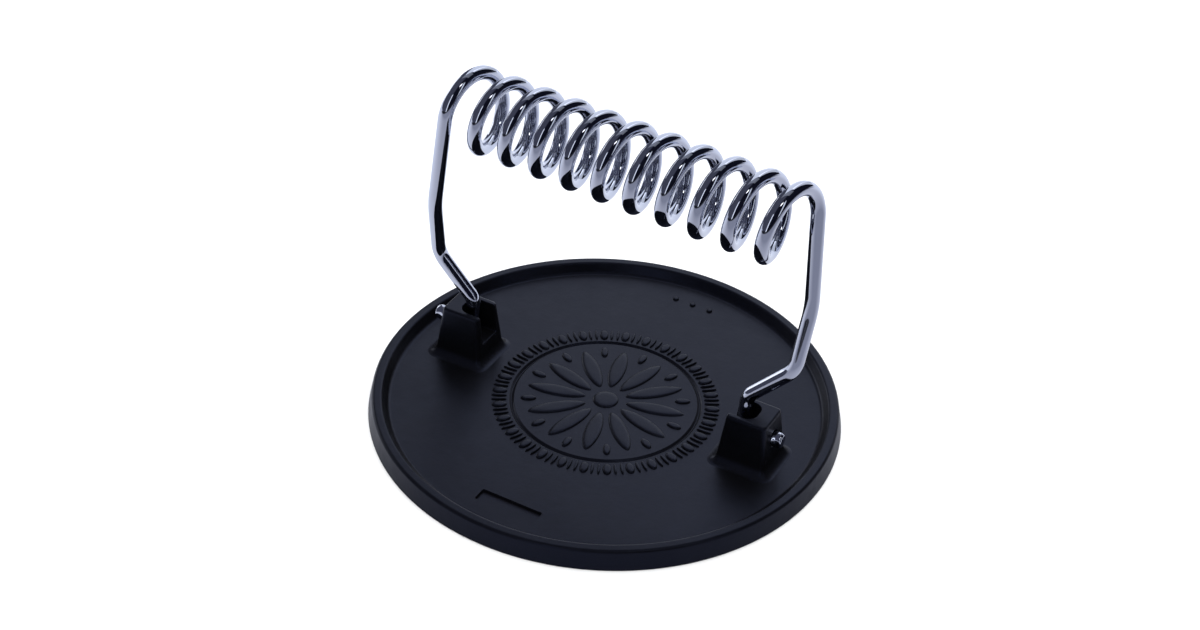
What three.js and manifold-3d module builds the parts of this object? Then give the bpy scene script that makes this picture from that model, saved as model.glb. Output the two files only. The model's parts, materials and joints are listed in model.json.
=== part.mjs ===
// Burger press: a round cast-iron plate that carries a handle wound from one round steel wire.
// Millimetres, +Z up. The origin is the centre of the plate's flat underside, and +X runs from the
// centre to the right lug, along the line that the handle pivots on.
import * as THREE from 'three';
import { mergeVertices } from 'three/addons/utils/BufferGeometryUtils.js';
import Module from 'manifold-3d';

const degrees = Math.PI / 180;

// Plate: a turned form with a raised rim and one thin ring groove in its upper face
const plateRadius = 95;
const plateEdgeBreak = 0.5;
const webThickness = 4.3;
const rimHeight = 8.5;
const rimWidth = 3.9;
const rimSlope = 2.5;
const rimRound = 1.4;
const rimFootRound = 2;
const sideTaper = 1.7;
const ringRadius = 37.8;
const ringWidth = 2;
const ringDepth = 0.9;
const plateSegments = 96;

// Shallow oblong recess in the upper face, on the front
const recessLength = 26.2;
const recessWidth = 6.4;
const recessDepth = 1.1;
const recessInset = 20.1;

// Relief on the upper face: a band of beads and reels outside the ring, and inside it a rosette of
// petals round an eye, with a seed between the tips of each two petals
const reliefHeight = 0.75;
const reliefSink = 0.4;
const reliefTopShare = 0.6;
const beadCount = 30;
const beadSides = 8;
const beadWidth = 3.5;
const reelSides = 6;
const reelWidth = 1.2;
const reelGap = 0.85;
const bandGap = 0.9;
const bandDepth = 6.2;
const eyeSides = 16;
const eyeDiameter = 10.4;
const petalCount = 12;
const petalSides = 12;
const petalGap = 3.1;
const petalLength = 24;
const petalWidth = 6.6;
const petalPointShare = 1.25;
const seedSides = 8;
const seedGap = 2.6;
const seedLength = 6.4;
const seedWidth = 3;

// Three round marks on the upper face, at the back
const markSides = 8;
const markDiameter = 2.6;
const markSpacing = 8;
const markInset = 19;

// Wire of the handle
const wireDiameter = 5.8;
const wireSides = 6;

// Grip: the wound part of the handle
const gripTurns = 10;
const gripRadius = 14.4;
const gripPitch = 13.95;
const gripHeight = 95.7;
const gripSkew = 3 * degrees;
const gripStepsPerTurn = 24;

// Legs, measured in the upright handle from the line that it pivots on
const waistHeight = 56.4;
const waistDepth = 9.9;
const waistOutset = 15;
const shoulderHeight = 30.6;
const shoulderDepth = 3.7;
const shoulderOutset = 15.1;
const kneeHeight = 13.2;
const kneeDepth = 2;
const kneeInset = 1.6;
const waistBendShare = 7.25;
const shoulderBendShare = 1.9;
const kneeBendShare = 1.05;
const footBendShare = 0.73;
const bendSteps = 5;

// Crimped ends of the wire, outside the lugs
const stubLength = 4.9;
const crimpHeightShares = [1, 1, 1.3, 1.3, 1.05];
const crimpDepthShares = [1, 1, 0.82, 0.82, 0.85];
const crimpPlaceShares = [0.12, 0.3, 0.5, 0.84, 1];

// Lugs: two drafted blocks, each with a pocket that is open at its top and towards the plate's centre
const pivotHeight = 17.1;
const lugHeight = 26.1;
const lugInset = 22.2;
const lugWall = 6.2;
const lugCheek = 2.3;
const lugCheekReach = 3.4;
const lugDraft = 6 * degrees;
const lugCorner = 1.6;
const lugTopRound = 0.8;
const lugFoot = 3.6;
const lugSink = 2.4;
const lugArcSteps = 4;

// Running gaps between the wire and the lugs, how far the handle leans back before a cheek stops it, and
// how far the wire's ends have slid along their bores towards the left lug
const handleLean = 4.3 * degrees;
const handleSlide = 1;
const shoulderSlideShare = 0.8;
const seatGap = 0.3;
const wallGap = 1.4;
const boreGap = 0.35;
const floorGap = 1;
const pocketCorner = 4.2;
const boreSegments = 24;

// How far every cutting body runs past what it cuts
const overrun = 4;

// Sizes that follow from the values above
const wireRadius = wireDiameter / 2;
const lugOuter = plateRadius - lugInset;
const pocketOuter = lugOuter - lugWall;
const dropPlace = pocketOuter - wallGap - wireRadius;
const lugInner = dropPlace - wireRadius - lugCheekReach;
const pocketFloor = pivotHeight - wireRadius - floorGap;
const dropSlope = Math.tan(handleLean) + kneeDepth / kneeHeight;
const pocketHalfWidth =
  wireRadius * Math.hypot(1, dropSlope) + (lugHeight - pivotHeight) * dropSlope + seatGap;
const lugHalfWidth = pocketHalfWidth + lugCheek;
const boreRadius = wireRadius + boreGap;
const stubStart = lugOuter + (lugHeight - pivotHeight) * Math.tan(lugDraft);
const stubEnd = stubStart + handleSlide + stubLength;
const reliefFootShare = 1 + ((1 - reliefTopShare) * reliefSink) / reliefHeight;
const bandRadius = ringRadius + ringWidth / 2 + bandGap + bandDepth / 2;
const petalRadius = eyeDiameter / 2 + petalGap + petalLength / 2;
const seedRadius = ringRadius - ringWidth / 2 - seedGap - seedLength / 2;
const markRadius = plateRadius - markInset;
const gripLastStep = (gripTurns / 2 + 1 / 4) * gripStepsPerTurn;

const wasm = await Module();
wasm.setup();

/** Turns a closed three.js geometry into a solid that can be joined and cut. */
function solidOf(geometry) {
  const bare = geometry.clone();
  bare.deleteAttribute('normal');
  bare.deleteAttribute('uv');
  const merged = mergeVertices(bare);
  const index = merged.index.array;
  const triangles = [];
  for (let i = 0; i < index.length; i += 3) {
    const [a, b, c] = index.slice(i, i + 3);
    if (a !== b && b !== c && c !== a) triangles.push(a, b, c);
  }
  const vertProperties = Float32Array.from(merged.attributes.position.array);
  const mesh = new wasm.Mesh({ numProp: 3, vertProperties, triVerts: Uint32Array.from(triangles) });
  return new wasm.Manifold(mesh);
}

/** Turns a solid back into a three.js geometry. */
function geometryOf(solid) {
  const { numProp, vertProperties, triVerts } = solid.getMesh();
  const geometry = new THREE.BufferGeometry();
  const positions = new Float32Array((vertProperties.length / numProp) * 3);
  for (let i = 0; i < positions.length / 3; i += 1) {
    positions.set(vertProperties.subarray(i * numProp, i * numProp + 3), i * 3);
  }
  geometry.setAttribute('position', new THREE.BufferAttribute(positions, 3));
  geometry.setIndex(new THREE.BufferAttribute(Uint32Array.from(triVerts), 1));
  geometry.computeVertexNormals();
  return geometry;
}

/** Rounds the corners of an open line: each corner is a point with the radius of its bend. */
function roundCorners(corners, steps) {
  const points = [];
  corners.forEach(({ at, radius }, i) => {
    if (!radius) {
      points.push(at.clone());
      return;
    }
    const back = corners[i - 1].at.clone().sub(at).normalize();
    const ahead = corners[i + 1].at.clone().sub(at).normalize();
    const opening = back.angleTo(ahead);
    const centre = back.clone().add(ahead).normalize();
    centre.multiplyScalar(radius / Math.sin(opening / 2)).add(at);
    const start = at.clone().addScaledVector(back, radius / Math.tan(opening / 2)).sub(centre);
    const axis = ahead.clone().cross(back).normalize();
    for (let k = 0; k <= steps; k += 1) {
      const turn = ((Math.PI - opening) * k) / steps;
      points.push(start.clone().applyAxisAngle(axis, turn).add(centre));
    }
  });
  return points;
}

/** Joins a row of closed rings of points into one closed body. */
function bodyOfRings(rings) {
  const sides = rings[0].length;
  const positions = rings.flat().flatMap((p) => [p.x, p.y, p.z]);
  const triangles = [];
  for (let r = 0; r < rings.length - 1; r += 1) {
    for (let s = 0; s < sides; s += 1) {
      const a = r * sides + s;
      const b = r * sides + ((s + 1) % sides);
      triangles.push(a, b, b + sides, a, b + sides, a + sides);
    }
  }
  for (let s = 1; s < sides - 1; s += 1) {
    const last = (rings.length - 1) * sides;
    triangles.push(0, s + 1, s, last, last + s, last + s + 1);
  }
  const geometry = new THREE.BufferGeometry();
  geometry.setAttribute('position', new THREE.Float32BufferAttribute(positions, 3));
  geometry.setIndex(triangles);
  geometry.computeVertexNormals();
  return geometry;
}

/** The plate without its lugs, as a profile turned about the upright axis. */
function turnedPlate() {
  const rimOuter = plateRadius - sideTaper;
  const rimInner = rimOuter - rimWidth;
  const corner = (r, z, radius = 0) => ({ at: new THREE.Vector3(r, z, 0), radius });
  const profile = roundCorners(
    [
      corner(0, 0),
      corner(plateRadius, 0, plateEdgeBreak),
      corner(rimOuter, rimHeight, rimRound),
      corner(rimInner, rimHeight, rimRound),
      corner(rimInner - rimSlope, webThickness, rimFootRound),
      corner(ringRadius + ringWidth / 2, webThickness),
      corner(ringRadius, webThickness - ringDepth),
      corner(ringRadius - ringWidth / 2, webThickness),
      corner(0, webThickness),
    ],
    lugArcSteps,
  );
  const geometry = new THREE.LatheGeometry(
    profile.map((p) => new THREE.Vector2(p.x, p.y)),
    plateSegments,
  );
  return geometry.rotateX(Math.PI / 2);
}

/** A flat ring of points round a rectangle with rounded corners. */
function roundedRectangle(centreX, halfX, halfY, corner, z) {
  const ring = [];
  for (let quarter = 0; quarter < 4; quarter += 1) {
    const alongX = quarter === 0 || quarter === 3 ? 1 : -1;
    const alongY = quarter < 2 ? 1 : -1;
    for (let k = 0; k <= lugArcSteps; k += 1) {
      const angle = (quarter + k / lugArcSteps) * (Math.PI / 2);
      ring.push(
        new THREE.Vector3(
          centreX + alongX * (halfX - corner) + corner * Math.cos(angle),
          alongY * (halfY - corner) + corner * Math.sin(angle),
          z,
        ),
      );
    }
  }
  return ring;
}

/** The right lug as a drafted block with a flared foot and a rounded top. */
function lugBlock() {
  const levels = [{ z: webThickness - lugSink, outset: lugFoot }];
  for (let k = 0; k <= lugArcSteps; k += 1) {
    const angle = (k / lugArcSteps) * (Math.PI / 2);
    levels.push({
      z: webThickness + lugFoot * (1 - Math.cos(angle)),
      outset: lugFoot * (1 - Math.sin(angle)),
    });
  }
  for (let k = 0; k <= lugArcSteps; k += 1) {
    const angle = (k / lugArcSteps) * (Math.PI / 2);
    levels.push({
      z: lugHeight - lugTopRound * (1 - Math.sin(angle)),
      outset: -lugTopRound * (1 - Math.cos(angle)),
    });
  }
  const centre = (lugOuter + lugInner) / 2;
  const rings = levels.map(({ z, outset }) => {
    const spread = (lugHeight - z) * Math.tan(lugDraft) + outset;
    return roundedRectangle(
      centre,
      (lugOuter - lugInner) / 2 + spread,
      lugHalfWidth + spread,
      lugCorner + outset,
      z,
    );
  });
  return bodyOfRings(rings);
}

/** The space of the right pocket, which runs out at the lug's top and at its inner side. */
function pocketSpace() {
  const open = lugInner - (lugHeight - pocketFloor) * Math.tan(lugDraft) - overrun;
  const half = (pocketOuter - open) / 2;
  const bottom = roundedRectangle(open + half, half, pocketHalfWidth, pocketCorner, pocketFloor);
  const top = roundedRectangle(open + half, half, pocketHalfWidth, pocketCorner, lugHeight + overrun);
  return bodyOfRings([bottom, top]);
}

/** The space of the right bore, through the lug's outer wall on the pivot line. */
function boreSpace() {
  const start = pocketOuter - wireRadius;
  const length = stubEnd + overrun - start;
  const geometry = new THREE.CylinderGeometry(boreRadius, boreRadius, length, boreSegments);
  return geometry.rotateZ(Math.PI / 2).translate(start + length / 2, 0, pivotHeight);
}

/**
 * A low raised form on the upper face at a radius along +X, with its length along X. It is oval where
 * pointShare is 1, and has pointed ends where it is more.
 */
function raisedForm(radius, length, width, sides, pointShare = 1) {
  const ring = (sizeShare, z) => {
    const points = [];
    for (let s = 0; s < sides; s += 1) {
      const angle = (2 * Math.PI * s) / sides;
      const across = Math.sign(Math.sin(angle)) * Math.abs(Math.sin(angle)) ** pointShare;
      points.push(
        new THREE.Vector3(
          radius + (length / 2) * sizeShare * Math.cos(angle),
          (width / 2) * sizeShare * across,
          z,
        ),
      );
    }
    return points;
  };
  return bodyOfRings([
    ring(reliefFootShare, webThickness - reliefSink),
    ring(reliefTopShare, webThickness + reliefHeight),
  ]);
}

/** All the raised forms of the band, the rosette and the three marks. */
function reliefForms() {
  const forms = [raisedForm(0, eyeDiameter, eyeDiameter, eyeSides)];
  const reelTurn = (beadWidth / 2 + reelGap + reelWidth / 2) / bandRadius;
  for (let k = 0; k < beadCount; k += 1) {
    const turn = (2 * Math.PI * k) / beadCount;
    forms.push(raisedForm(bandRadius, bandDepth, beadWidth, beadSides).rotateZ(turn));
    for (const side of [-1, 1]) {
      const reel = raisedForm(bandRadius, bandDepth, reelWidth, reelSides);
      forms.push(reel.rotateZ(turn + side * reelTurn));
    }
  }
  for (let k = 0; k < petalCount; k += 1) {
    const turn = (2 * Math.PI * k) / petalCount;
    const petal = raisedForm(petalRadius, petalLength, petalWidth, petalSides, petalPointShare);
    forms.push(petal.rotateZ(turn + Math.PI / petalCount));
    forms.push(raisedForm(seedRadius, seedLength, seedWidth, seedSides).rotateZ(turn));
  }
  for (const side of [-1, 0, 1]) {
    const mark = raisedForm(0, markDiameter, markDiameter, markSides);
    forms.push(mark.translate(side * markSpacing, markRadius, 0));
  }
  return forms;
}

/** The plate with its relief, both lugs, their pockets and bores, and the oblong recess. */
function castPlate() {
  const recess = new THREE.BoxGeometry(recessLength, recessWidth, recessDepth + overrun);
  recess.translate(0, recessInset - plateRadius, webThickness - recessDepth / 2 + overrun / 2);
  let solid = wasm.Manifold.union([turnedPlate(), ...reliefForms()].map(solidOf));
  for (const turn of [0, Math.PI]) {
    solid = solid.add(solidOf(lugBlock().rotateZ(turn)));
    solid = solid.subtract(solidOf(pocketSpace().rotateZ(turn)));
    solid = solid.subtract(solidOf(boreSpace().rotateZ(turn)));
  }
  return geometryOf(solid.subtract(solidOf(recess)));
}

/** Direction that points out of the wound grip, with the turn angle counted from its middle top. */
function gripOutward(angle) {
  const outward = new THREE.Vector3(0, Math.sin(angle), Math.cos(angle));
  return outward.applyAxisAngle(new THREE.Vector3(0, 0, 1), -gripSkew);
}

/** One point of the wound grip's centre line. */
function gripPoint(angle) {
  const middle = new THREE.Vector3((gripPitch * angle) / (2 * Math.PI), 0, 0);
  middle.applyAxisAngle(new THREE.Vector3(0, 0, 1), -gripSkew).setZ(gripHeight);
  return middle.addScaledVector(gripOutward(angle), gripRadius);
}

/** Centre line of the handle's right half, from the middle of the grip to the end of the wire. */
function halfWire(slide) {
  const grip = [];
  for (let k = 0; k < gripLastStep; k += 1) {
    grip.push(gripPoint((2 * Math.PI * k) / gripStepsPerTurn));
  }
  const corner = (x, y, z, share = 0) => ({
    at: new THREE.Vector3(x, y, z),
    radius: wireDiameter * share,
  });
  const foot = dropPlace + slide;
  const shoulderPlace = dropPlace + shoulderOutset + slide * shoulderSlideShare;
  const leg = roundCorners(
    [
      { at: gripPoint((2 * Math.PI * gripLastStep) / gripStepsPerTurn), radius: 0 },
      corner(dropPlace + waistOutset, waistDepth, waistHeight, waistBendShare),
      corner(shoulderPlace, shoulderDepth, shoulderHeight, shoulderBendShare),
      corner(foot - kneeInset, kneeDepth, kneeHeight, kneeBendShare),
      corner(foot, 0, 0, footBendShare),
      corner(stubStart + slide, 0, 0),
    ],
    bendSteps,
  );
  return [...grip, ...leg];
}

/**
 * Rings of the wire's section along its centre line. In the grip one corner of every ring points
 * outward, and along the leg the last such corner is carried round each bend without twist.
 */
function ringsAlong(points) {
  const normal = new THREE.Vector3();
  return points.map((point, i) => {
    const before = points[Math.max(i - 1, 0)];
    const after = points[Math.min(i + 1, points.length - 1)];
    const tangent = after.clone().sub(before).normalize();
    if (i < gripLastStep) normal.copy(gripOutward((2 * Math.PI * i) / gripStepsPerTurn));
    normal.addScaledVector(tangent, -normal.dot(tangent)).normalize();
    const side = tangent.clone().cross(normal);
    const ring = [];
    for (let s = 0; s < wireSides; s += 1) {
      const angle = (2 * Math.PI * s) / wireSides;
      const spoke = normal.clone().multiplyScalar(wireRadius * Math.cos(angle));
      spoke.addScaledVector(side, wireRadius * Math.sin(angle));
      ring.push(spoke.add(point));
    }
    return ring;
  });
}

/** The flattened rings past the wire's last one, which keep it from slipping back through the bore. */
function crimpRings(lastRing) {
  return crimpPlaceShares.map((place, i) =>
    lastRing.map(
      (p) =>
        new THREE.Vector3(
          p.x + place * stubLength,
          p.y * crimpDepthShares[i],
          p.z * crimpHeightShares[i],
        ),
    ),
  );
}

/** Least gap between stretches of the wire that lie at least half a turn of the grip apart. */
function leastGap(points) {
  let least = Infinity;
  for (let i = 0; i < points.length; i += 1) {
    for (let j = i + gripStepsPerTurn / 2; j < points.length; j += 1) {
      least = Math.min(least, points[i].distanceTo(points[j]) - wireDiameter);
    }
  }
  return least;
}

/** The whole handle, upright, with the line that it pivots on through the origin along X. */
function woundHandle() {
  const halfTurn = (p) => new THREE.Vector3(-p.x, -p.y, p.z);
  const [right, left] = [halfWire(-handleSlide), halfWire(handleSlide)];
  const [rightRings, leftRings] = [right, left].map((points) => {
    const rings = ringsAlong(points);
    return [...rings, ...crimpRings(rings.at(-1))];
  });
  const turned = leftRings
    .slice(1)
    .reverse()
    .map((ring) => ring.map((p, s) => halfTurn(ring[(wireSides - s) % wireSides])));
  const line = [...left.slice(1).reverse().map(halfTurn), ...right];
  console.log(`least gap between turns of the wire: ${leastGap(line).toFixed(2)} mm`);
  return bodyOfRings([...turned, ...rightRings]);
}

const castIron = new THREE.MeshStandardMaterial({ color: 0x1a1b20, roughness: 0.55, metalness: 0.35 });
const chrome = new THREE.MeshStandardMaterial({ color: 0xc9cbd8, roughness: 0.12, metalness: 1 });

const plate = new THREE.Mesh(castPlate(), castIron);
plate.name = 'press_plate';

const handle = new THREE.Mesh(woundHandle(), chrome);
handle.name = 'coil_handle';
handle.position.set(0, 0, pivotHeight);
handle.rotation.x = -handleLean;

const press = new THREE.Group();
press.add(plate, handle);

export default press;
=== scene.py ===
"""Burger press: a round seasoned iron plate that carries a handle wound from one chromed wire.

Metres, +Z up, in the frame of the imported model. The origin is the centre of the plate's underside,
and +X runs along the line between the lugs that the handle pivots on.
"""

import json
import math

import bmesh
import bpy
from mathutils import Matrix, Vector


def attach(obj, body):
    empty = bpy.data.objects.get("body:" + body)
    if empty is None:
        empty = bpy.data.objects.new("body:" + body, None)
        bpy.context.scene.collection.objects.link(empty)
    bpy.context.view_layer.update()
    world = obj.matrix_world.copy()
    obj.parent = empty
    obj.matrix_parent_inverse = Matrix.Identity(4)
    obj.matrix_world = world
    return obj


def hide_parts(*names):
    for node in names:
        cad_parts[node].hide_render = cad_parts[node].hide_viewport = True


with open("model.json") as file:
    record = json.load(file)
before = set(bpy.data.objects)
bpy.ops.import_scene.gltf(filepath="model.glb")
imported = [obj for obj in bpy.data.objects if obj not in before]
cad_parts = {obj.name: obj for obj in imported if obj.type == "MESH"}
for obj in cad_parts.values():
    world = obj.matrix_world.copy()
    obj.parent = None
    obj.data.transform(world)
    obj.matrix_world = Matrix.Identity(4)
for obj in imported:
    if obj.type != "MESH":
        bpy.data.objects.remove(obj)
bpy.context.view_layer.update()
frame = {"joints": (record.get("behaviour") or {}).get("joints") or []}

MM = 0.001
FULL_TURN = 2 * math.pi

# Camera, as fitted to the photograph: a frame 1200 pixels wide
IMAGE_WIDTH_PX = 1200
FOCAL_LENGTH_PX = 2138.4
SENSOR_WIDTH_MM = 36
CAMERA_DISTANCE = 861.1 * MM
CAMERA_AZIMUTH = math.radians(27.65)
CAMERA_ELEVATION = math.radians(36.61)
CAMERA_ROLL = math.radians(2.905)
CAMERA_AIM_RIGHT = -2.06 * MM
CAMERA_AIM_UP = 37.49 * MM
CLIP_START = 0.01
CLIP_END = 50

# Soft boxes as (name, azimuth, width, low edge, high edge, colour, glow), with the angles in degrees as
# seen from a point at the handle, and a very soft light from above
BOX_DISTANCE = 1.6
HANDLE_EYE = 0.1
COOL = (0.86, 0.91, 1.0)
SOFT_BOXES = (
    ("window_left", -107, 30, -2, 18, (0.96, 0.98, 1.0), 2.0),
    ("box_back_left", -160, 40, -2, 64, COOL, 1.15),
    ("box_back_right", 169, 22, -2, 60, COOL, 0.85),
    ("lamp_front_right", 55, 10, 53, 60, (1.0, 1.0, 1.0), 4.6),
    ("box_front", 7, 9, -6, 42, COOL, 1.7),
    ("strip_right", 78, 8, 0, 48, COOL, 1.1),
    ("box_top", 180, 60, 66, 84, COOL, 0.25),
)
FILL_SPREAD = 120
FILL_STRENGTH = 4.4
FILL_COLOUR = (1.0, 1.0, 1.0)

# The room that the metal mirrors, and the backdrop that only the camera sees
ROOM_COLOUR = (0.080, 0.085, 0.120, 1)
DARK_SIDE_COLOUR = (0.008, 0.009, 0.018, 1)
DARK_SIDE_AZIMUTH = 85
DARK_SIDE_SPAN = (0.1, 0.3)
BACKDROP_COLOUR = (0.98, 0.98, 0.985, 1)

# The floor: pale to the camera; in mirror images it has painted light and shade, dimmer away from the
# bright side and dark beyond an arc at the front right; azimuths in degrees, spans and places in metres
FLOOR_REACH = 6.0
FLOOR_NOISE = (3, 2)
FLOOR_ROUGHNESS = 0.8
FLOOR_COLOUR = (0.89, 0.89, 0.88, 1)
FLOOR_COLOUR_PALER = (0.91, 0.91, 0.90, 1)
FLOOR_MIRROR_PAINTED_LIGHT_COLOUR = (0.60, 0.63, 0.70, 1)
FLOOR_MIRROR_PAINTED_SHADE_COLOURS = ((0.50, 0.51, 0.56, 1), (0.21, 0.22, 0.27, 1))
FLOOR_MIRROR_FAR_PAINTED_SHADE_COLOURS = ((0.045, 0.048, 0.065, 1), (0.004, 0.0045, 0.007, 1))
FLOOR_RIGHT_AZIMUTH = 45
FLOOR_DIM_SPAN = (0.0, 0.22)
FLOOR_FAR_SPAN = (0.15, 0.35)
FLOOR_BRIGHT_AZIMUTH = -138
FLOOR_BRIGHT_SPAN = (-0.01, 0.13)
FLOOR_MIDDLE = (-0.45, 0.35, 0)
FLOOR_EDGE_SPAN = (1.18, 1.32)
FLOOR_EDGE_GATE = (-0.4, 0.0)

# Seasoned iron: tones as (position on the ramp, colour), noises as (features per metre, detail), and
# bumps as (features, detail, strength, depth), laid over each other from fine grain to slow swells
IRON_TONES = ((0.3, (0.0014, 0.0014, 0.0018, 1)), (0.75, (0.0026, 0.0026, 0.0032, 1)))
IRON_TONE_NOISE = (45, 4)
IRON_GLOSS_NOISE = (180, 5)
IRON_ROUGHNESS = (0.31, 0.40)
IRON_GLOSS_SPAN = (0.25, 0.75)
IRON_SPECULAR = 0.25
IRON_TINT = (0.47, 0.56, 1.0, 1)
IRON_BUMPS = (
    (1500, 3, 0.30, 0.045 * MM),
    (450, 2, 0.40, 0.07 * MM),
    (120, 2, 0.30, 0.2 * MM),
)

# Chrome plate, with its haze and its waves given in the same way
CHROME_COLOUR = (0.50, 0.52, 0.60, 1)
CHROME_HAZE_NOISE = (220, 4)
CHROME_ROUGHNESS = (0.02, 0.05)
CHROME_HAZE_SPAN = (0.3, 0.7)
CHROME_WAVES = (300, 1, 0.04, 0.05 * MM)

# Plate. The edge is broken a little more than the solid's, so that the finer circle stays in its box.
PIVOT = Vector(frame["joints"][0]["pos_m"])
PLATE_RADIUS = 95 * MM
EDGE_BREAK = 0.56 * MM
WEB = 4.3 * MM
RIM_HEIGHT = 8.5 * MM
RIM_WIDTH = 3.9 * MM
RIM_SLOPE = 2.5 * MM
RIM_ROUND = 1.4 * MM
RIM_FOOT_ROUND = 2.0 * MM
SIDE_TAPER = 1.7 * MM
RING_RADIUS = 37.8 * MM
RING_WIDTH = 2.0 * MM
RING_DEPTH = 0.9 * MM
RING_EDGE = 0.3 * MM
PROFILE_STEPS = 8
PLATE_SEGMENTS = 384

# Recess on the front of the upper face
RECESS_LENGTH = 26.2 * MM
RECESS_WIDTH = 6.4 * MM
RECESS_DEPTH = 1.1 * MM
RECESS_INSET = 20.1 * MM
RECESS_PLACE = PLATE_RADIUS - RECESS_INSET
RECESS_SLOPE = 0.35 * MM
RECESS_CORNER = 0.7 * MM
RECESS_STEPS = 4
RECESS_OVERRUN = 2 * MM

# Relief on the upper face: a band of beads and reels outside the ring, inside it a rosette of petals
# round an eye with a seed between the tips of each two petals, and three round marks at the back
RELIEF_HEIGHT = 0.75 * MM
RELIEF_SINK = 0.4 * MM
BEADS = 30
BEAD_WIDTH = 3.5 * MM
REEL_WIDTH = 1.2 * MM
REEL_GAP = 0.85 * MM
BAND_GAP = 0.9 * MM
BAND_DEPTH = 6.2 * MM
BAND_RADIUS = RING_RADIUS + RING_WIDTH / 2 + BAND_GAP + BAND_DEPTH / 2
EYE_DIAMETER = 10.4 * MM
PETALS = 12
PETAL_GAP = 3.1 * MM
PETAL_LENGTH = 24 * MM
PETAL_WIDTH = 6.6 * MM
PETAL_RADIUS = EYE_DIAMETER / 2 + PETAL_GAP + PETAL_LENGTH / 2
PETAL_POINT = 1.25
SEED_GAP = 2.6 * MM
SEED_LENGTH = 6.4 * MM
SEED_WIDTH = 3 * MM
SEED_RADIUS = RING_RADIUS - RING_WIDTH / 2 - SEED_GAP - SEED_LENGTH / 2
MARK_DIAMETER = 2.6 * MM
MARK_SPACING = 8 * MM
MARK_INSET = 19 * MM
MARK_RADIUS = PLATE_RADIUS - MARK_INSET
RELIEF_STEPS = 40

# Section of a raised form: its size and its height above the web, as shares of its own at the web
RELIEF_SHARES = ((1.0, 0.0), (0.97, 0.35), (0.89, 0.66), (0.76, 0.87), (0.58, 0.97), (0.3, 1.0))

# Wire and wound grip, which goes on for a part of a turn into each leg. Its radius is 0.06 mm under the
# solid's, so that the round wire stays in the box of the solid's six-sided one.
WIRE_RADIUS = 2.9 * MM
WIRE_SIDES = 32
GRIP_TURNS = 10
GRIP_LAST_TURN = 0.25
GRIP_RADIUS = 14.34 * MM
GRIP_PITCH = 13.95 * MM
GRIP_HEIGHT = 95.7 * MM
GRIP_SKEW = math.radians(3)
GRIP_STEPS = 64
HANDLE_LEAN = math.radians(4.3)

# Corners of the right leg in the upright handle: outwards, back and up from its drop on the pivot line
WAIST = (15.0 * MM, 9.9 * MM, 56.4 * MM)
SHOULDER = (15.1 * MM, 3.7 * MM, 30.6 * MM)
KNEE = (-1.6 * MM, 2.0 * MM, 13.2 * MM)
WAIST_BEND = 42 * MM
SHOULDER_BEND = 11 * MM
KNEE_BEND = 6.1 * MM
FOOT_BEND = 4.2 * MM
BEND_STEPS = 14
STUB_LENGTH = 4.9 * MM

# How far the wire's ends have slid along their bores towards the left lug
SLIDE = 1.0 * MM
SHOULDER_SLIDE_SHARE = 0.8

# Lugs. The softening is the smoothing's strength and its rounds.
LUG_HEIGHT = 26.1 * MM
LUG_INSET = 22.2 * MM
LUG_OUTER = PLATE_RADIUS - LUG_INSET
LUG_WALL = 6.2 * MM
LUG_CHEEK = 2.3 * MM
LUG_REACH = 3.4 * MM
LUG_DRAFT = math.radians(6)
LUG_CORNER = 1.6 * MM
LUG_TOP_ROUND = 0.8 * MM
LUG_FOOT = 3.6 * MM
LUG_SINK = 2.0 * MM
LUG_STEPS = 10
LUG_OVERRUN = 4 * MM
LUG_VOXEL = 0.3 * MM
LUG_SOFTENING = (0.5, 5)
SEAT_GAP = 0.3 * MM
WALL_GAP = 1.4 * MM
BORE_GAP = 0.35 * MM
BORE_SIDES = 48
FLOOR_GAP = 1.0 * MM
POCKET_CORNER = 4.2 * MM

# Places that follow from the sizes above
POCKET_OUTER = LUG_OUTER - LUG_WALL
DROP_PLACE = POCKET_OUTER - WALL_GAP - WIRE_RADIUS
LUG_INNER = DROP_PLACE - WIRE_RADIUS - LUG_REACH
POCKET_FLOOR = PIVOT.z - WIRE_RADIUS - FLOOR_GAP
DROP_SLOPE = math.tan(HANDLE_LEAN) + KNEE[1] / KNEE[2]
POCKET_HALF = WIRE_RADIUS * math.hypot(1, DROP_SLOPE) + (LUG_HEIGHT - PIVOT.z) * DROP_SLOPE + SEAT_GAP
LUG_HALF = POCKET_HALF + LUG_CHEEK
STUB_START = LUG_OUTER + (LUG_HEIGHT - PIVOT.z) * math.tan(LUG_DRAFT)

# Edges that stay sharp in shading: those that turn by more than this
PLATE_SHARP = math.radians(35)
WIRE_SHARP = math.radians(40)
RELIEF_SHARP = math.radians(50)


def add_camera():
    """The camera at the photograph's place, with its small roll."""
    azimuth, elevation = CAMERA_AZIMUTH, CAMERA_ELEVATION
    back = Vector(
        (
            math.sin(azimuth) * math.cos(elevation),
            -math.cos(azimuth) * math.cos(elevation),
            math.sin(elevation),
        )
    )
    level = Vector((math.cos(azimuth), math.sin(azimuth), 0))
    upright = back.cross(level)
    right = math.cos(CAMERA_ROLL) * level + math.sin(CAMERA_ROLL) * upright
    up = math.cos(CAMERA_ROLL) * upright - math.sin(CAMERA_ROLL) * level
    place = right * CAMERA_AIM_RIGHT + up * CAMERA_AIM_UP + back * CAMERA_DISTANCE
    lens = bpy.data.cameras.new("photo_camera")
    lens.sensor_width = SENSOR_WIDTH_MM
    lens.lens = SENSOR_WIDTH_MM * FOCAL_LENGTH_PX / IMAGE_WIDTH_PX
    lens.clip_start = CLIP_START
    lens.clip_end = CLIP_END
    camera = bpy.data.objects.new("photo_camera", lens)
    turn = Matrix((right, up, back)).transposed().to_4x4()
    camera.matrix_world = Matrix.Translation(place) @ turn
    bpy.context.scene.collection.objects.link(camera)
    bpy.context.scene.camera = camera


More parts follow.
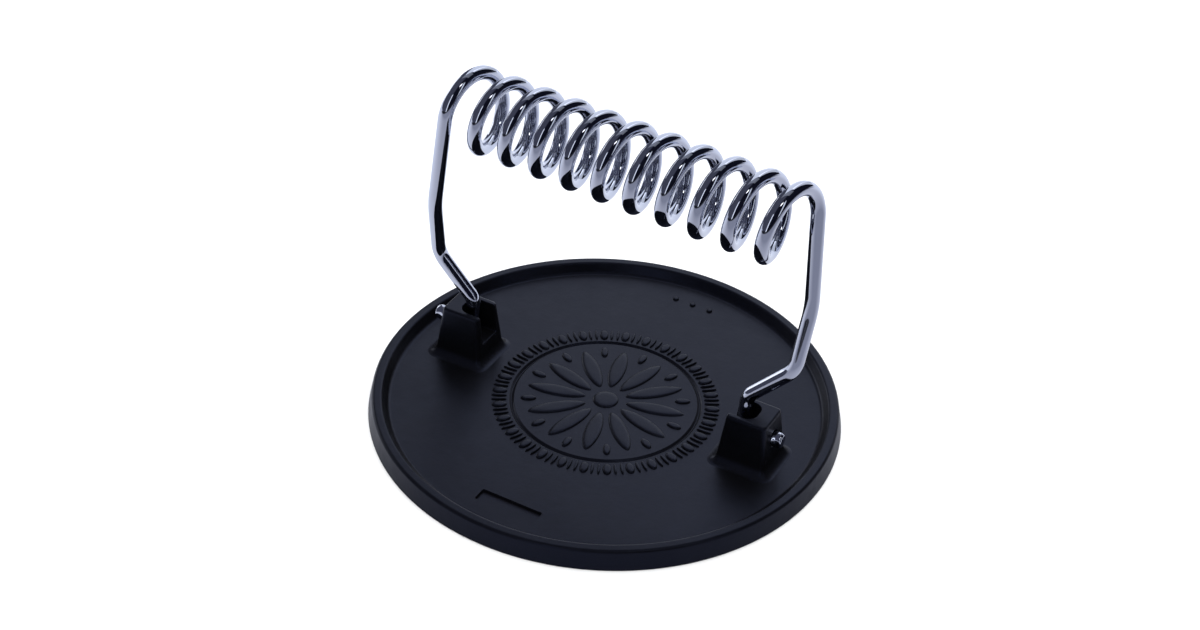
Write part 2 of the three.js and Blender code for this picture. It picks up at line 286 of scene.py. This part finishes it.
def new_material(name):
    """A material with a principled shader, and its node tree."""
    material = bpy.data.materials.new(name)
    material.use_nodes = True
    tree = material.node_tree
    return material, tree, tree.nodes["Principled BSDF"]


def noise(tree, scale, detail, coordinates):
    """A noise texture in the object's own coordinates, in features per metre."""
    node = tree.nodes.new("ShaderNodeTexNoise")
    node.inputs["Scale"].default_value = scale
    node.inputs["Detail"].default_value = detail
    tree.links.new(coordinates, node.inputs["Vector"])
    return node.outputs["Fac"]


def spread(tree, source, low, high, start=0.0, end=1.0):
    """Maps a value from one range to another."""
    node = tree.nodes.new("ShaderNodeMapRange")
    node.inputs["From Min"].default_value = start
    node.inputs["From Max"].default_value = end
    node.inputs["To Min"].default_value = low
    node.inputs["To Max"].default_value = high
    tree.links.new(source, node.inputs["Value"])
    return node.outputs["Result"]


def mix_colour(tree, share, first, second):
    """Goes from the first colour or colour output to the second as the share goes from 0 to 1."""
    node = tree.nodes.new("ShaderNodeMix")
    node.data_type = "RGBA"
    for colour, socket in ((first, node.inputs["A"]), (second, node.inputs["B"])):
        if isinstance(colour, tuple):
            socket.default_value = colour
        else:
            tree.links.new(colour, socket)
    tree.links.new(share, node.inputs["Factor"])
    return node.outputs["Result"]


def vector_math(tree, operation, source, constant):
    """The value that an operation gives for a vector and a constant one."""
    node = tree.nodes.new("ShaderNodeVectorMath")
    node.operation = operation
    node.inputs[1].default_value = constant
    tree.links.new(source, node.inputs[0])
    return node.outputs["Value"]


def product(tree, first, second):
    """The product of two values."""
    node = tree.nodes.new("ShaderNodeMath")
    node.operation = "MULTIPLY"
    tree.links.new(first, node.inputs[0])
    tree.links.new(second, node.inputs[1])
    return node.outputs["Value"]


def bump(tree, source, strength, distance, under=None):
    """A bump node, laid over another one if given."""
    node = tree.nodes.new("ShaderNodeBump")
    node.inputs["Strength"].default_value = strength
    node.inputs["Distance"].default_value = distance
    tree.links.new(source, node.inputs["Height"])
    if under is not None:
        tree.links.new(under, node.inputs["Normal"])
    return node.outputs["Normal"]


def iron_material():
    """Seasoned cast iron: near black, satin, with a grain, the peel of the casting and slow swells."""
    material, tree, shader = new_material("seasoned_iron")
    place = tree.nodes.new("ShaderNodeTexCoord").outputs["Object"]
    ramp = tree.nodes.new("ShaderNodeValToRGB")
    for stop, (position, colour) in zip(ramp.color_ramp.elements, IRON_TONES):
        stop.position = position
        stop.color = colour
    tree.links.new(noise(tree, *IRON_TONE_NOISE, place), ramp.inputs["Fac"])
    tree.links.new(ramp.outputs["Color"], shader.inputs["Base Color"])
    gloss = noise(tree, *IRON_GLOSS_NOISE, place)
    roughness = spread(tree, gloss, *IRON_ROUGHNESS, *IRON_GLOSS_SPAN)
    tree.links.new(roughness, shader.inputs["Roughness"])
    surface = None
    for features, detail, strength, depth in IRON_BUMPS:
        surface = bump(tree, noise(tree, features, detail, place), strength, depth, surface)
    tree.links.new(surface, shader.inputs["Normal"])
    shader.inputs["Specular IOR Level"].default_value = IRON_SPECULAR
    shader.inputs["Specular Tint"].default_value = IRON_TINT
    return material


def chrome_material():
    """Bright chrome plate on wire, with very faint waves and a little haze."""
    material, tree, shader = new_material("chrome_plate")
    place = tree.nodes.new("ShaderNodeTexCoord").outputs["Object"]
    shader.inputs["Base Color"].default_value = CHROME_COLOUR
    shader.inputs["Metallic"].default_value = 1.0
    haze = noise(tree, *CHROME_HAZE_NOISE, place)
    roughness = spread(tree, haze, *CHROME_ROUGHNESS, *CHROME_HAZE_SPAN)
    tree.links.new(roughness, shader.inputs["Roughness"])
    features, detail, strength, depth = CHROME_WAVES
    waves = bump(tree, noise(tree, features, detail, place), strength, depth)
    tree.links.new(waves, shader.inputs["Normal"])
    return material


def floor_material():
    """Plain pale floor, whose mirror image has painted light and shade: it dims from the bright side and
    goes dark past an arc.
    """
    material, tree, shader = new_material("pale_floor")
    place = tree.nodes.new("ShaderNodeTexCoord").outputs["Object"]
    pale = mix_colour(tree, noise(tree, *FLOOR_NOISE, place), FLOOR_COLOUR, FLOOR_COLOUR_PALER)
    # Painted light and shade that only mirror images see: bright towards the back left, dimmer to the
    # right, dark past an arc at the front right
    right = vector_math(tree, "DOT_PRODUCT", place, heading(FLOOR_RIGHT_AZIMUTH, 0))
    dim = mix_colour(tree, spread(tree, right, 0, 1, *FLOOR_DIM_SPAN), *FLOOR_MIRROR_PAINTED_SHADE_COLOURS)
    back = vector_math(tree, "DOT_PRODUCT", place, heading(FLOOR_BRIGHT_AZIMUTH, 0))
    brightness = spread(tree, back, 0, 1, *FLOOR_BRIGHT_SPAN)
    near = mix_colour(tree, brightness, dim, FLOOR_MIRROR_PAINTED_LIGHT_COLOUR)
    far = mix_colour(tree, spread(tree, right, 0, 1, *FLOOR_FAR_SPAN), *FLOOR_MIRROR_FAR_PAINTED_SHADE_COLOURS)
    away = vector_math(tree, "DISTANCE", place, FLOOR_MIDDLE)
    beyond = spread(tree, away, 0, 1, *FLOOR_EDGE_SPAN)
    gate = spread(tree, right, 0, 1, *FLOOR_EDGE_GATE)
    mirrored_painted_shade = mix_colour(tree, product(tree, beyond, gate), near, far)
    glossy = tree.nodes.new("ShaderNodeLightPath").outputs["Is Glossy Ray"]
    tree.links.new(mix_colour(tree, glossy, pale, mirrored_painted_shade), shader.inputs["Base Color"])
    shader.inputs["Roughness"].default_value = FLOOR_ROUGHNESS
    return material


def add_floor():
    """A wide flat floor under the press."""
    mesh = bpy.data.meshes.new("studio_floor")
    reach = FLOOR_REACH
    corners = [(-reach, -reach, 0), (reach, -reach, 0), (reach, reach, 0), (-reach, reach, 0)]
    mesh.from_pydata(corners, [], [(0, 1, 2, 3)])
    mesh.materials.append(floor_material())
    floor = bpy.data.objects.new("studio_floor", mesh)
    bpy.context.scene.collection.objects.link(floor)


def add_room():
    """A dim room that the metal mirrors, darker on the right, with a pale backdrop for the camera."""
    world = bpy.data.worlds.new("studio_room")
    world.use_nodes = True
    tree = world.node_tree
    sky = tree.nodes["Background"]
    place = tree.nodes.new("ShaderNodeTexCoord").outputs["Generated"]
    towards = vector_math(tree, "DOT_PRODUCT", place, heading(DARK_SIDE_AZIMUTH, 0))
    side = spread(tree, towards, 0, 1, *DARK_SIDE_SPAN)
    tree.links.new(mix_colour(tree, side, ROOM_COLOUR, DARK_SIDE_COLOUR), sky.inputs["Color"])

    backdrop = tree.nodes.new("ShaderNodeBackground")
    backdrop.inputs["Color"].default_value = BACKDROP_COLOUR
    seen = tree.nodes.new("ShaderNodeLightPath").outputs["Is Camera Ray"]
    blend = tree.nodes.new("ShaderNodeMixShader")
    tree.links.new(seen, blend.inputs[0])
    tree.links.new(sky.outputs[0], blend.inputs[1])
    tree.links.new(backdrop.outputs[0], blend.inputs[2])
    tree.links.new(blend.outputs[0], tree.nodes["World Output"].inputs["Surface"])
    bpy.context.scene.world = world


def heading(azimuth, elevation):
    """Unit vector from the press, for an azimuth counted in degrees from its front towards +X."""
    turn, lift = math.radians(azimuth), math.radians(elevation)
    return Vector(
        (math.sin(turn) * math.cos(lift), -math.cos(turn) * math.cos(lift), math.sin(lift))
    )


def add_soft_box(name, azimuth, width, low, high, colour, glow):
    """A soft box placed by the angles it fills as seen from the handle, all in degrees."""
    middle = heading(azimuth, (low + high) / 2)
    data = bpy.data.lights.new(name, "AREA")
    data.shape = "RECTANGLE"
    data.size = 2 * BOX_DISTANCE * math.tan(math.radians(width / 2))
    data.size_y = 2 * BOX_DISTANCE * math.tan(math.radians((high - low) / 2))
    data.color = colour
    data.energy = glow * math.pi * data.size * data.size_y
    lamp = bpy.data.objects.new(name, data)
    lamp.location = Vector((0, 0, HANDLE_EYE)) + middle * BOX_DISTANCE
    lamp.rotation_mode = "QUATERNION"
    lamp.rotation_quaternion = (-middle).to_track_quat("-Z", "Y")
    lamp.visible_camera = False
    bpy.context.scene.collection.objects.link(lamp)


def add_fill():
    """Very soft light from above that brightens the floor and casts no highlights."""
    data = bpy.data.lights.new("fill", "SUN")
    data.angle = math.radians(FILL_SPREAD)
    data.energy = FILL_STRENGTH
    data.color = FILL_COLOUR
    lamp = bpy.data.objects.new("fill", data)
    lamp.visible_glossy = False
    lamp.visible_camera = False
    bpy.context.scene.collection.objects.link(lamp)


def add_studio():
    """The pale floor, the dim room and the soft lights."""
    bpy.context.scene.view_settings.view_transform = "Standard"
    add_floor()
    add_room()
    add_fill()
    for box in SOFT_BOXES:
        add_soft_box(*box)


def mesh_object(name, points, faces, material):
    """A new object from points and faces, with its faces pointing out."""
    mesh = bpy.data.meshes.new(name)
    mesh.from_pydata([tuple(p) for p in points], [], faces)
    form = bmesh.new()
    form.from_mesh(mesh)
    bmesh.ops.recalc_face_normals(form, faces=form.faces)
    form.to_mesh(mesh)
    form.free()
    mesh.materials.append(material)
    obj = bpy.data.objects.new(name, mesh)
    bpy.context.scene.collection.objects.link(obj)
    return obj


def smooth_by_angle(obj, angle):
    """Smooth shading that keeps edges sharper than the given angle."""
    mesh = obj.data
    mesh.shade_smooth()
    form = bmesh.new()
    form.from_mesh(mesh)
    for edge in form.edges:
        if len(edge.link_faces) == 2:
            edge.smooth = edge.calc_face_angle() < angle
    form.to_mesh(mesh)
    form.free()


def rings_mesh(rings):
    """Points and faces of a row of closed rings, with both ends closed."""
    count = len(rings[0])
    points = [p for ring in rings for p in ring]
    faces = []
    for r in range(len(rings) - 1):
        for s in range(count):
            t = (s + 1) % count
            faces.append((r * count + s, r * count + t, (r + 1) * count + t, (r + 1) * count + s))
    faces.append(tuple(reversed(range(count))))
    faces.append(tuple((len(rings) - 1) * count + s for s in range(count)))
    return points, faces


def round_corners(corners, steps):
    """Points of an open line whose corners, given as (point, radius), are rounded by arcs."""
    points = []
    for i, (at, radius) in enumerate(corners):
        at = Vector(at)
        if not radius:
            points.append(at)
            continue
        back = (Vector(corners[i - 1][0]) - at).normalized()
        ahead = (Vector(corners[i + 1][0]) - at).normalized()
        opening = back.angle(ahead)
        centre = at + (back + ahead).normalized() * (radius / math.sin(opening / 2))
        start = at + back * (radius / math.tan(opening / 2)) - centre
        axis = ahead.cross(back).normalized()
        for k in range(steps + 1):
            turn = Matrix.Rotation((math.pi - opening) * k / steps, 3, axis)
            points.append(turn @ start + centre)
    return points


def apply_modifiers(obj):
    """Replaces the object's mesh by its modified one."""
    graph = bpy.context.evaluated_depsgraph_get()
    mesh = bpy.data.meshes.new_from_object(obj.evaluated_get(graph))
    obj.modifiers.clear()
    obj.data = mesh


def combine(obj, other, operation):
    """Joins a second closed body to the first, or cuts it away, and deletes the second."""
    modifier = obj.modifiers.new(operation, "BOOLEAN")
    modifier.operation = operation
    modifier.solver = "EXACT"
    modifier.object = other
    apply_modifiers(obj)
    bpy.data.objects.remove(other)


def rounded_rectangle(centre_x, half_x, half_y, corner, z, steps=LUG_STEPS):
    """A flat ring of points round a rectangle with rounded corners."""
    ring = []
    for quarter in range(4):
        along_x = 1 if quarter in (0, 3) else -1
        along_y = 1 if quarter < 2 else -1
        for k in range(steps + 1):
            angle = (quarter + k / steps) * math.pi / 2
            x = centre_x + along_x * (half_x - corner) + corner * math.cos(angle)
            y = along_y * (half_y - corner) + corner * math.sin(angle)
            ring.append(Vector((x, y, z)))
    return ring


def lug_levels():
    """Heights of the lug's block with how far it stands out there, from its root to its rounded top."""
    angles = [k / LUG_STEPS * math.pi / 2 for k in range(LUG_STEPS + 1)]
    levels = [(WEB - LUG_SINK, LUG_FOOT)]
    for angle in angles:
        levels.append((WEB + LUG_FOOT * (1 - math.cos(angle)), LUG_FOOT * (1 - math.sin(angle))))
    for angle in angles:
        z = LUG_HEIGHT - LUG_TOP_ROUND * (1 - math.sin(angle))
        levels.append((z, -LUG_TOP_ROUND * (1 - math.cos(angle))))
    return levels


def lug_block(name, material):
    """The lug's drafted block with its flared foot, still solid."""
    centre = (LUG_OUTER + LUG_INNER) / 2
    rings = []
    for z, outset in lug_levels():
        grown = (LUG_HEIGHT - z) * math.tan(LUG_DRAFT) + outset
        half = (LUG_OUTER - LUG_INNER) / 2 + grown
        rings.append(rounded_rectangle(centre, half, LUG_HALF + grown, LUG_CORNER + outset, z))
    return mesh_object(name, *rings_mesh(rings), material)


def pocket_space(name, material):
    """The lug's pocket, which is open at its top and towards the plate's centre."""
    inner = LUG_INNER - (LUG_HEIGHT - POCKET_FLOOR) * math.tan(LUG_DRAFT) - LUG_OVERRUN
    half = (POCKET_OUTER - inner) / 2
    rings = []
    for z in (POCKET_FLOOR, LUG_HEIGHT + LUG_OVERRUN):
        rings.append(rounded_rectangle(inner + half, half, POCKET_HALF, POCKET_CORNER, z))
    return mesh_object(name, *rings_mesh(rings), material)


def bore_space(name, material):
    """The bore on the pivot line, from the pocket out through the lug's outer wall."""
    radius = WIRE_RADIUS + BORE_GAP
    rings = []
    for x in (POCKET_OUTER - WIRE_RADIUS, STUB_START + LUG_OVERRUN):
        ring = []
        for k in range(BORE_SIDES):
            angle = k * FULL_TURN / BORE_SIDES
            ring.append(Vector((x, 0, PIVOT.z)) + radius * Vector((0, math.cos(angle), math.sin(angle))))
        rings.append(ring)
    return mesh_object(name, *rings_mesh(rings), material)


def lug_body(name, material):
    """The right lug as one casting: its block with the pocket and the bore cut, and soft cast edges."""
    lug = lug_block(name, material)
    combine(lug, pocket_space(name + "_pocket", material), "DIFFERENCE")
    combine(lug, bore_space(name + "_bore", material), "DIFFERENCE")
    remesh = lug.modifiers.new("cast_surface", "REMESH")
    remesh.mode = "VOXEL"
    remesh.voxel_size = LUG_VOXEL
    soften = lug.modifiers.new("cast_edges", "SMOOTH")
    soften.factor, soften.iterations = LUG_SOFTENING
    apply_modifiers(lug)
    return lug


def plate_profile():
    """Half section of the plate, from the underside's centre round the rim to the top's centre."""
    rim_outer = PLATE_RADIUS - SIDE_TAPER
    rim_inner = rim_outer - RIM_WIDTH
    return round_corners(
        [
            ((0, 0, 0), 0),
            ((PLATE_RADIUS, 0, 0), EDGE_BREAK),
            ((rim_outer, RIM_HEIGHT, 0), RIM_ROUND),
            ((rim_inner, RIM_HEIGHT, 0), RIM_ROUND),
            ((rim_inner - RIM_SLOPE, WEB, 0), RIM_FOOT_ROUND),
            ((RING_RADIUS + RING_WIDTH / 2, WEB, 0), RING_EDGE),
            ((RING_RADIUS, WEB - RING_DEPTH, 0), RING_EDGE),
            ((RING_RADIUS - RING_WIDTH / 2, WEB, 0), RING_EDGE),
            ((0, WEB, 0), 0),
        ],
        PROFILE_STEPS,
    )


def turned_body(name, profile, segments, material):
    """A closed body from a half section that starts and ends on the upright axis."""
    inner = profile[1:-1]
    points = [Vector((0, 0, profile[0].y)), Vector((0, 0, profile[-1].y))]
    for k in range(segments):
        angle = FULL_TURN * k / segments
        points += [Vector((p.x * math.cos(angle), p.x * math.sin(angle), p.y)) for p in inner]
    faces = []
    count = len(inner)
    for k in range(segments):
        here = 2 + k * count
        there = 2 + (k + 1) % segments * count
        faces.append((0, there, here))
        faces.append((1, here + count - 1, there + count - 1))
        for i in range(count - 1):
            faces.append((here + i, there + i, there + i + 1, here + i + 1))
    return mesh_object(name, points, faces, material)


def raised_form(radius, angle, length, width, point=1.0):
    """Rings of a low raised form on the web, with its length out from the plate's centre.

    It is round or oval where point is 1, and pointed at its ends where point is more.
    """
    out = Vector((math.cos(angle), math.sin(angle), 0))
    across = Vector((-math.sin(angle), math.cos(angle), 0))
    levels = [(1.0, -RELIEF_SINK)] + [(size, up * RELIEF_HEIGHT) for size, up in RELIEF_SHARES]
    rings = []
    for size, up in levels:
        ring = []
        for k in range(RELIEF_STEPS):
            turn = FULL_TURN * k / RELIEF_STEPS
            along = length / 2 * size * math.cos(turn)
            side = width / 2 * size * math.copysign(abs(math.sin(turn)) ** point, math.sin(turn))
            ring.append(out * (radius + along) + across * side + Vector((0, 0, WEB + up)))
        rings.append(ring)
    return rings


def relief_body(name, material):
    """The raised band, the rosette and three marks at the back, as one object of closed bodies."""
    bodies = [raised_form(0, 0, EYE_DIAMETER, EYE_DIAMETER)]
    reel_turn = (BEAD_WIDTH / 2 + REEL_GAP + REEL_WIDTH / 2) / BAND_RADIUS
    for k in range(BEADS):
        turn = FULL_TURN * k / BEADS
        bodies.append(raised_form(BAND_RADIUS, turn, BAND_DEPTH, BEAD_WIDTH))
        for side in (-1, 1):
            bodies.append(raised_form(BAND_RADIUS, turn + side * reel_turn, BAND_DEPTH, REEL_WIDTH))
    for k in range(PETALS):
        turn = FULL_TURN * k / PETALS
        middle = turn + math.pi / PETALS
        bodies.append(raised_form(PETAL_RADIUS, middle, PETAL_LENGTH, PETAL_WIDTH, PETAL_POINT))
        bodies.append(raised_form(SEED_RADIUS, turn, SEED_LENGTH, SEED_WIDTH))
    for place in (-MARK_SPACING, 0, MARK_SPACING):
        radius, angle = math.hypot(place, MARK_RADIUS), math.atan2(MARK_RADIUS, place)
        bodies.append(raised_form(radius, angle, MARK_DIAMETER, MARK_DIAMETER))
    points, faces = [], []
    for rings in bodies:
        body_points, body_faces = rings_mesh(rings)
        faces += [tuple(i + len(points) for i in face) for face in body_faces]
        points += body_points
    return mesh_object(name, points, faces, material)


def recess_space(material):
    """The oblong hollow on the front, with sloping walls."""
    half_x, half_y = RECESS_LENGTH / 2, RECESS_WIDTH / 2
    floor_z, over_z = WEB - RECESS_DEPTH, WEB + RECESS_OVERRUN
    rings = []
    for z, inset in ((floor_z, RECESS_SLOPE), (WEB, 0), (over_z, -RECESS_SLOPE)):
        sides = (half_x - inset, half_y - inset)
        ring = rounded_rectangle(0, *sides, RECESS_CORNER, z, RECESS_STEPS)
        rings.append([p - Vector((0, RECESS_PLACE, 0)) for p in ring])
    return mesh_object("recess_space", *rings_mesh(rings), material)


def add_plate(material):
    """The whole casting: turned plate, both lugs, recess and relief."""
    plate = turned_body("iron_plate", plate_profile(), PLATE_SEGMENTS, material)
    combine(plate, recess_space(material), "DIFFERENCE")
    right_lug = lug_body("right_lug", material)
    left_lug = right_lug.copy()
    left_lug.data = right_lug.data.copy()
    left_lug.data.transform(Matrix.Rotation(math.pi, 4, "Z"))
    bpy.context.scene.collection.objects.link(left_lug)
    combine(plate, right_lug, "UNION")
    combine(plate, left_lug, "UNION")
    smooth_by_angle(plate, PLATE_SHARP)
    even = plate.modifiers.new("even_shading", "WEIGHTED_NORMAL")
    even.keep_sharp = True
    apply_modifiers(plate)
    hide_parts("press_plate")
    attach(plate, "plate")

    relief = relief_body("cast_relief", material)
    smooth_by_angle(relief, RELIEF_SHARP)
    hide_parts("press_plate")
    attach(relief, "plate")


def grip_point(angle):
    """A point of the wound grip's centre line, with the angle counted from its middle top."""
    x = GRIP_PITCH * angle / FULL_TURN
    y = GRIP_RADIUS * math.sin(angle)
    z = GRIP_RADIUS * math.cos(angle)
    flat = Matrix.Rotation(-GRIP_SKEW, 3, "Z") @ Vector((x, y, 0))
    return Vector((flat.x, flat.y, GRIP_HEIGHT + z))


def half_wire(slide):
    """Centre line of the handle's right half, from the middle of the grip to the lug's outer face."""
    last = int((GRIP_TURNS / 2 + GRIP_LAST_TURN) * GRIP_STEPS)
    grip = [grip_point(FULL_TURN * k / GRIP_STEPS) for k in range(last)]
    drop = Vector((DROP_PLACE, 0, 0))
    slid = Vector((slide, 0, 0))
    leg = round_corners(
        [
            (grip_point(FULL_TURN * last / GRIP_STEPS), 0),
            (drop + Vector(WAIST), WAIST_BEND),
            (drop + Vector(SHOULDER) + slid * SHOULDER_SLIDE_SHARE, SHOULDER_BEND),
            (drop + Vector(KNEE) + slid, KNEE_BEND),
            (drop + slid, FOOT_BEND),
            (Vector((STUB_START, 0, 0)) + slid, 0),
        ],
        BEND_STEPS,
    )
    return grip + leg


def wire_rings(points, first_normal):
    """Rings of the wire's round section, carried along the line without twist."""
    normal = Vector(first_normal)
    rings = []
    for i, point in enumerate(points):
        tangent = (points[min(i + 1, len(points) - 1)] - points[max(i - 1, 0)]).normalized()
        normal = (normal - tangent * normal.dot(tangent)).normalized()
        side = tangent.cross(normal)
        ring = []
        for s in range(WIRE_SIDES):
            angle = FULL_TURN * s / WIRE_SIDES
            ring.append(point + WIRE_RADIUS * (normal * math.cos(angle) + side * math.sin(angle)))
        rings.append(ring)
    return rings


# Crimped end of the wire: place along the stub, then the section's half depth and half height,
# all as shares of the stub's length and the wire's radius
CRIMP_SHARES = (
    (0.12, 1.00, 1.00),
    (0.22, 0.99, 1.01),
    (0.32, 0.93, 1.07),
    (0.42, 0.86, 1.14),
    (0.52, 0.82, 1.17),
    (0.66, 0.82, 1.17),
    (0.76, 0.83, 1.12),
    (0.86, 0.86, 1.02),
    (0.93, 0.86, 0.95),
    (0.97, 0.82, 0.89),
    (0.99, 0.76, 0.82),
    (1.00, 0.66, 0.72),
)


def crimp_rings(last_ring):
    """The pinched rings outside the lug, which keep the wire from slipping back through its bore."""
    rings = []
    for place, depth, height in CRIMP_SHARES:
        out = place * STUB_LENGTH
        rings.append([Vector((p.x + out, p.y * depth, p.z * height)) for p in last_ring])
    return rings


def wire_half(slide):
    """All rings of the right half of the wire, with its crimped end."""
    rings = wire_rings(half_wire(slide), (0, 0, 1))
    return rings + crimp_rings(rings[-1])


def add_handle(material):
    """The handle as one unbroken wire, leaning back on its pivot line as it rests."""
    right, left_turned = wire_half(-SLIDE), wire_half(SLIDE)
    left = []
    for ring in reversed(left_turned[1:]):
        turned = [ring[-s % WIRE_SIDES] for s in range(WIRE_SIDES)]
        left.append([Vector((-p.x, -p.y, p.z)) for p in turned])
    points, faces = rings_mesh(left + right)
    lean = Matrix.Translation((0, 0, PIVOT.z)) @ Matrix.Rotation(-HANDLE_LEAN, 4, "X")
    handle = mesh_object("wound_wire_handle", [lean @ p for p in points], faces, material)
    smooth_by_angle(handle, WIRE_SHARP)
    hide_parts("coil_handle")
    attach(handle, "handle")


add_camera()
add_studio()
add_plate(iron_material())
add_handle(chrome_material())
